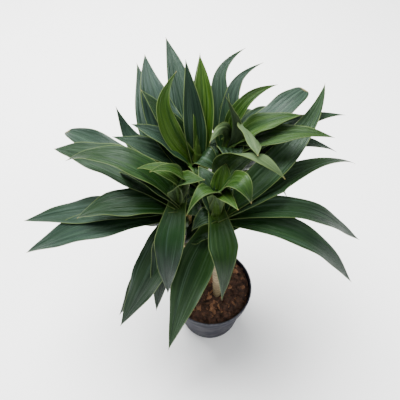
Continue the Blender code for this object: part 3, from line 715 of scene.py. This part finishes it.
def half_width(row, t):
    """Half the blade's width: a clasping base, a swell to the widest part, and a long taper to the tip."""
    width, widest, taper = row[6], row[10], row[11]
    rising = np.clip(t / widest, 0, 1)
    falling = np.clip((t - widest) / (1 - widest), 0, 1)
    lower = BASE_SHARE + (1 - BASE_SHARE) * np.sin(math.pi / 2 * rising) ** 1.3
    upper = (1 - falling**taper) ** min(1.1, 1.95 - 0.5 * taper)
    return np.maximum(width / 2 * np.where(t < widest, lower, upper), POINT_HALF)


def blade(start, row, fold, youth, bloom, dried, numbers):
    """One leaf: its line swept by a channelled cross-section with five pleats and a gently waved margin,
    and given a thickness that swells along the middle."""
    t = 1 - (1 - np.linspace(0, 1, LEAF_ROWS)) ** 1.15
    centre, side = leaf_line(start, row, t)
    ahead = unit(leaf_line(start, row, t + 0.001)[0] - leaf_line(start, row, t - 0.001)[0])
    across = unit(side - (ahead @ side)[:, None] * ahead)
    upper = np.cross(ahead, across)
    turn = np.radians(row[7] + row[8] * t**1.5)[:, None]
    c, s = np.cos(turn), np.sin(turn)
    across, upper = across * c + upper * s, upper * c - across * s
    half = half_width(row, t)[:, None]
    even = np.linspace(-1, 1, LEAF_COLUMNS)
    u = np.sin(even * math.pi / 2) * 0.35 + even * 0.65
    channel = half * (max(0.22, fold) + 0.75 * np.exp(-t / 0.12))[:, None] * np.abs(u) ** 1.5
    full = np.clip(half / 12, 0, 1)
    pleats = PLEAT_DEPTH * full * np.cos(5 * math.pi * u) * np.clip(t / 0.15, 0, 1)[:, None] * (1 - u**8)
    groove = -0.5 * full * np.exp(-((u * half / 1.1) ** 2))
    beat = numbers.uniform(2.2, 3.4, 2)
    phase = numbers.uniform(0, 2 * math.pi, 2)
    left, right = np.sin(2 * math.pi * beat[:, None] * t + phase[:, None])[..., None]
    swing = np.where(u < 0, left, right)
    wave = (0.10 + 0.2 * dried) * half * swing * np.abs(u) ** 3 * np.clip(t / 0.25, 0, 1)[:, None]
    sheet = centre[:, None] + across[:, None] * (half * u)[..., None]
    sheet = sheet + upper[:, None] * (channel + pleats + groove + wave)[..., None]
    normal = unit(np.cross(np.gradient(sheet, axis=0), np.gradient(sheet, axis=1)))
    normal *= np.sign((normal * upper[:, None]).sum(-1, keepdims=True))
    keel = np.exp(-((u * half / 2.2) ** 2))
    thick = MARGIN_THICK + 0.25 * (1 - u**2) + (RIB_THICK - 0.7) * keel * (1 - 0.6 * t[:, None])
    thick = thick * np.clip(half / 4, 0.35, 1)
    depth = normal * thick[..., None] / 2
    points, quads = closed_sheet(sheet + depth, sheet - depth)
    values = {
        "across": u,
        "along": t[:, None],
        "edge": (1 - np.abs(u)) * half,
        "under": np.array((0.0, 1.0))[:, None, None],
        "young": youth,
        "bloom": bloom,
        "dry": dried,
        "tone": numbers.random(),
    }
    for title, found in values.items():
        values[title] = np.broadcast_to(found, (2, LEAF_ROWS, LEAF_COLUMNS)).ravel()
    return points, quads, values


def neck(head, numbers):
    """The green stem of a head and the rolled leaf at its top: a round stem whose radius steps at the edge
    of each wrapped leaf base, along a spiral, and tapers to a point."""
    low, top, depth = HEADS[head]
    whole = np.linalg.norm(np.array(top) - np.array(low))
    heights = np.linspace(0, depth + SPEAR_LENGTH, NECK_ROWS)
    stops = (0, 4, depth * 0.6, depth - 2, depth + 14, depth + SPEAR_LENGTH)
    widths = (NECK_RADIUS - 1.0, NECK_RADIUS, NECK_RADIUS + 0.6, NECK_RADIUS - 1.2, NECK_RADIUS - 3.4, 0.4)
    angles = np.arange(NECK_SIDES) * 2 * math.pi / NECK_SIDES
    wrap = (angles / (2 * math.pi) + heights[:, None] / 13) % 1
    radii = np.interp(heights, stops, widths)[:, None] * (0.86 + 0.13 * wrap**1.5)
    points, quads, fans = round_stem(head, heights + whole - depth, radii)
    values = {
        "across": wrap[0] * 2 - 1,
        "along": 0.3,
        "edge": (1 - wrap) * 12,
        "under": 0.15,
        "young": np.clip(0.35 + heights / (depth + SPEAR_LENGTH), 0, 1)[:, None],
        "bloom": 0.0,
        "dry": 0.0,
        "tone": numbers.random(),
    }
    for title, found in values.items():
        found = np.broadcast_to(found, radii.shape).ravel()
        values[title] = np.concatenate((found, found[:1], found[-1:]))
    return points, quads, fans, values


def leaf_fibres():
    """Group: the veins of a leaf. Fine is the thin parallel veins, Broad the wide light and dark bands
    between them, and Streak the few veins that stand up from the blade, which the leaf's bump lifts and
    its colour marks with a painted highlight. All are drawn out along the blade."""
    group = bpy.data.node_groups.new("leaf_fibres", "ShaderNodeTree")
    for title in ("Across", "Along", "Tone"):
        group.interface.new_socket(title, in_out="INPUT", socket_type="NodeSocketFloat")
    for title in ("Fine", "Broad", "Streak"):
        group.interface.new_socket(title, in_out="OUTPUT", socket_type="NodeSocketFloat")
    given = group.nodes.new("NodeGroupInput")
    result = group.nodes.new("NodeGroupOutput")
    for output, dense, drawn, low, high in (
        ("Fine", 17.0, 1.2, 0.34, 0.66),
        ("Broad", 3.6, 1.1, 0.34, 0.66),
        ("Streak", 9.0, 1.4, 0.54, 0.64),
    ):
        x = combined(group, "MULTIPLY", given.outputs["Across"], dense)
        y = combined(group, "MULTIPLY", given.outputs["Along"], drawn)
        z = combined(group, "MULTIPLY", given.outputs["Tone"], 60.0)
        place = node(group, "CombineXYZ", {0: x, 1: y, 2: z}).outputs[0]
        texture = noise(group, place, 1.0, 3.0, 0.6)
        group.links.new(ramp(group, texture, low, high), result.inputs[output])
    return group


FIBRES = leaf_fibres()


def leaf_wax():
    """Leaf: deep green when grown and yellow-green when young, in lengthwise bands, greyer underneath, with
    a painted grey-blue sheen on some leaves that stands in for the sky's reflection, painted pale
    highlights along a few veins, a thin pale margin, a paler base and a dry point. The under side is matt."""
    made, tree, shader, place = new_finish("leaf_wax", 0.4)
    value = {}
    for title in LEAF_PATTERNS:
        value[title] = node(tree, "Attribute", attribute_name=title).outputs["Fac"]
    fibres = placed(tree, FIBRES, Across=value["across"], Along=value["along"], Tone=value["tone"])
    fine, broad, streak = [fibres.outputs[title] for title in ("Fine", "Broad", "Streak")]
    grown = mixed(tree, broad, colour(0.0029, 0.0100, 0.0026), colour(0.0078, 0.0205, 0.0055))
    # Painted sheen: this grey-blue colour, mixed in leaf by leaf, paints the reflection of the sky into the
    # leaf colour.
    painted_sheen_colour = mixed(tree, broad, colour(0.0062, 0.0144, 0.0112), colour(0.0145, 0.0284, 0.0228))
    grown = mixed(tree, value["bloom"], grown, painted_sheen_colour)
    fresh = mixed(tree, broad, colour(0.008, 0.030, 0.001), colour(0.029, 0.066, 0.003))
    inner = ramp(tree, value["along"], 0.1, 0.6, 0.8, 0.0)
    grown = mixed(tree, inner, grown, colour(0.0050, 0.0225, 0.0022))
    face = mixed(tree, value["young"], grown, fresh)
    below_old = mixed(tree, broad, colour(0.025, 0.044, 0.019), colour(0.048, 0.073, 0.034))
    below_new = mixed(tree, broad, colour(0.052, 0.088, 0.028), colour(0.090, 0.130, 0.050))
    below = mixed(tree, value["young"], below_old, below_new)
    body = mixed(tree, value["under"], face, below)
    vein = mixed(tree, value["young"], colour(0.022, 0.044, 0.018), colour(0.060, 0.108, 0.020))
    body = mixed(tree, ramp(tree, fine, 0.45, 1.0, 0.0, 0.32), body, vein)
    # Painted highlight: a paler grey-green along the streaks, standing in for light caught on the veins.
    streak_highlight_paint = mixed(tree, value["young"], colour(0.036, 0.066, 0.046), colour(0.065, 0.115, 0.024))
    body = mixed(tree, combined(tree, "MULTIPLY", streak, 0.5), body, streak_highlight_paint)
    base = ramp(tree, value["along"], 0.0, 0.12, 0.55, 0.0)
    body = mixed(tree, base, body, colour(0.034, 0.068, 0.009))
    rim = ramp(tree, value["edge"], 0.2, 0.75, 0.7, 0.0)
    body = mixed(tree, rim, body, colour(0.11, 0.15, 0.045))
    point = ramp(tree, value["along"], 0.975, 0.998, 0.0, 0.75)
    body = mixed(tree, point, body, colour(0.26, 0.19, 0.07))
    papery = mixed(tree, broad, colour(0.20, 0.115, 0.035), colour(0.42, 0.29, 0.11))
    body = mixed(tree, value["dry"], body, papery)
    tree.links.new(body, shader.inputs["Base Color"])
    blotch = ramp(tree, noise(tree, place, 45.0), 0.3, 0.7, 0.30, 0.42)
    tree.links.new(combined(tree, "MULTIPLY_ADD", value["under"], 0.2, blotch), shader.inputs["Roughness"])
    bumped(tree, shader, combined(tree, "ADD", streak, fine), 0.0004, 0.6)
    shader.inputs["Specular IOR Level"].default_value = 0.15
    shader.inputs["Specular Tint"].default_value = colour(0.82, 1.0, 0.93)
    return made


wax = leaf_wax()
for head, rows in LEAVES.items():
    low, top, depth = HEADS[head]
    along = stem_axes(head)[1]
    numbers = np.random.default_rng(ord(head) + 7)
    parts = []
    for number, row in enumerate(rows, 1):
        angle = math.radians(row[1])
        outward = np.array((math.cos(angle), math.sin(angle), 0.0))
        start = np.array(top) - along * row[0] + LEAF_ROOT * outward
        youth = YOUTH[head].get(number, 0.0) + numbers.uniform(-0.04, 0.06)
        fold, bloom, dried = [table[head].get(number, 0.0) for table in (FOLDS, PAINTED_SHEEN, DRIED)]
        parts.append(blade(start, row, fold, max(youth, 0.0), bloom, dried, numbers))
    stem_points, stem_quads, stem_fans, stem_values = neck(head, numbers)
    counts = np.cumsum([0] + [len(points) for points, _, _ in parts])
    values = {t: np.concatenate([p[2][t] for p in parts] + [stem_values[t]]) for t in stem_values}
    foliage = piece(
        "foliage_" + head,
        np.concatenate([p[0] for p in parts] + [stem_points]),
        np.concatenate([p[1] + first for p, first in zip(parts, counts)] + [stem_quads + counts[-1]]),
        stem_fans + counts[-1],
        wax,
        smooth=80,
        **values,
    )
    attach(foliage, "root")
    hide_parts("head_" + head)

# The floor is a wide pale sheet, lit by one large soft lamp above and behind, a weak one at the right and a
# pale sky.
FLOOR_HALF = 4.0

sheet = bpy.data.meshes.new("floor")
corners = [(x * FLOOR_HALF, y * FLOOR_HALF, 0.0) for x, y in ((-1, -1), (1, -1), (1, 1), (-1, 1))]
sheet.from_pydata(corners, [], [(0, 1, 2, 3)])
floor = bpy.data.objects.new("floor", sheet)
bpy.context.scene.collection.objects.link(floor)
pale, tree, shader, place = new_finish("floor", 0.9)
cloudy = mixed(tree, noise(tree, place, 6.0), colour(0.95, 0.95, 0.95), colour(0.97, 0.97, 0.97))
tree.links.new(cloudy, shader.inputs["Base Color"])
sheet.materials.append(pale)

for title, place, size, power, tint in (
    ("lamp_above", (-0.45, 0.75, 1.9), 1.5, 198.0, (1.0, 1.0, 0.99)),
    ("lamp_side", (1.2, -0.6, 1.6), 1.2, 16.0, (0.99, 1.0, 1.0)),
):
    lamp = bpy.data.objects.new(title, bpy.data.lights.new(title, "AREA"))
    lamp.data.size = size
    lamp.data.energy = power
    lamp.data.color = tint
    lamp.location = place
    aim = np.array((0.0, 0.05, 0.25)) - np.array(place)
    from_straight_down = math.atan2(math.hypot(aim[0], aim[1]), -aim[2])
    lamp.rotation_euler = (from_straight_down, 0.0, math.atan2(-aim[0], aim[1]))
    bpy.context.scene.collection.objects.link(lamp)

world = bpy.data.worlds.new("sky")
world.use_nodes = True
world.node_tree.nodes["Background"].inputs[0].default_value = (0.96, 0.98, 1.0, 1.0)
world.node_tree.nodes["Background"].inputs[1].default_value = 0.68
bpy.context.scene.world = world
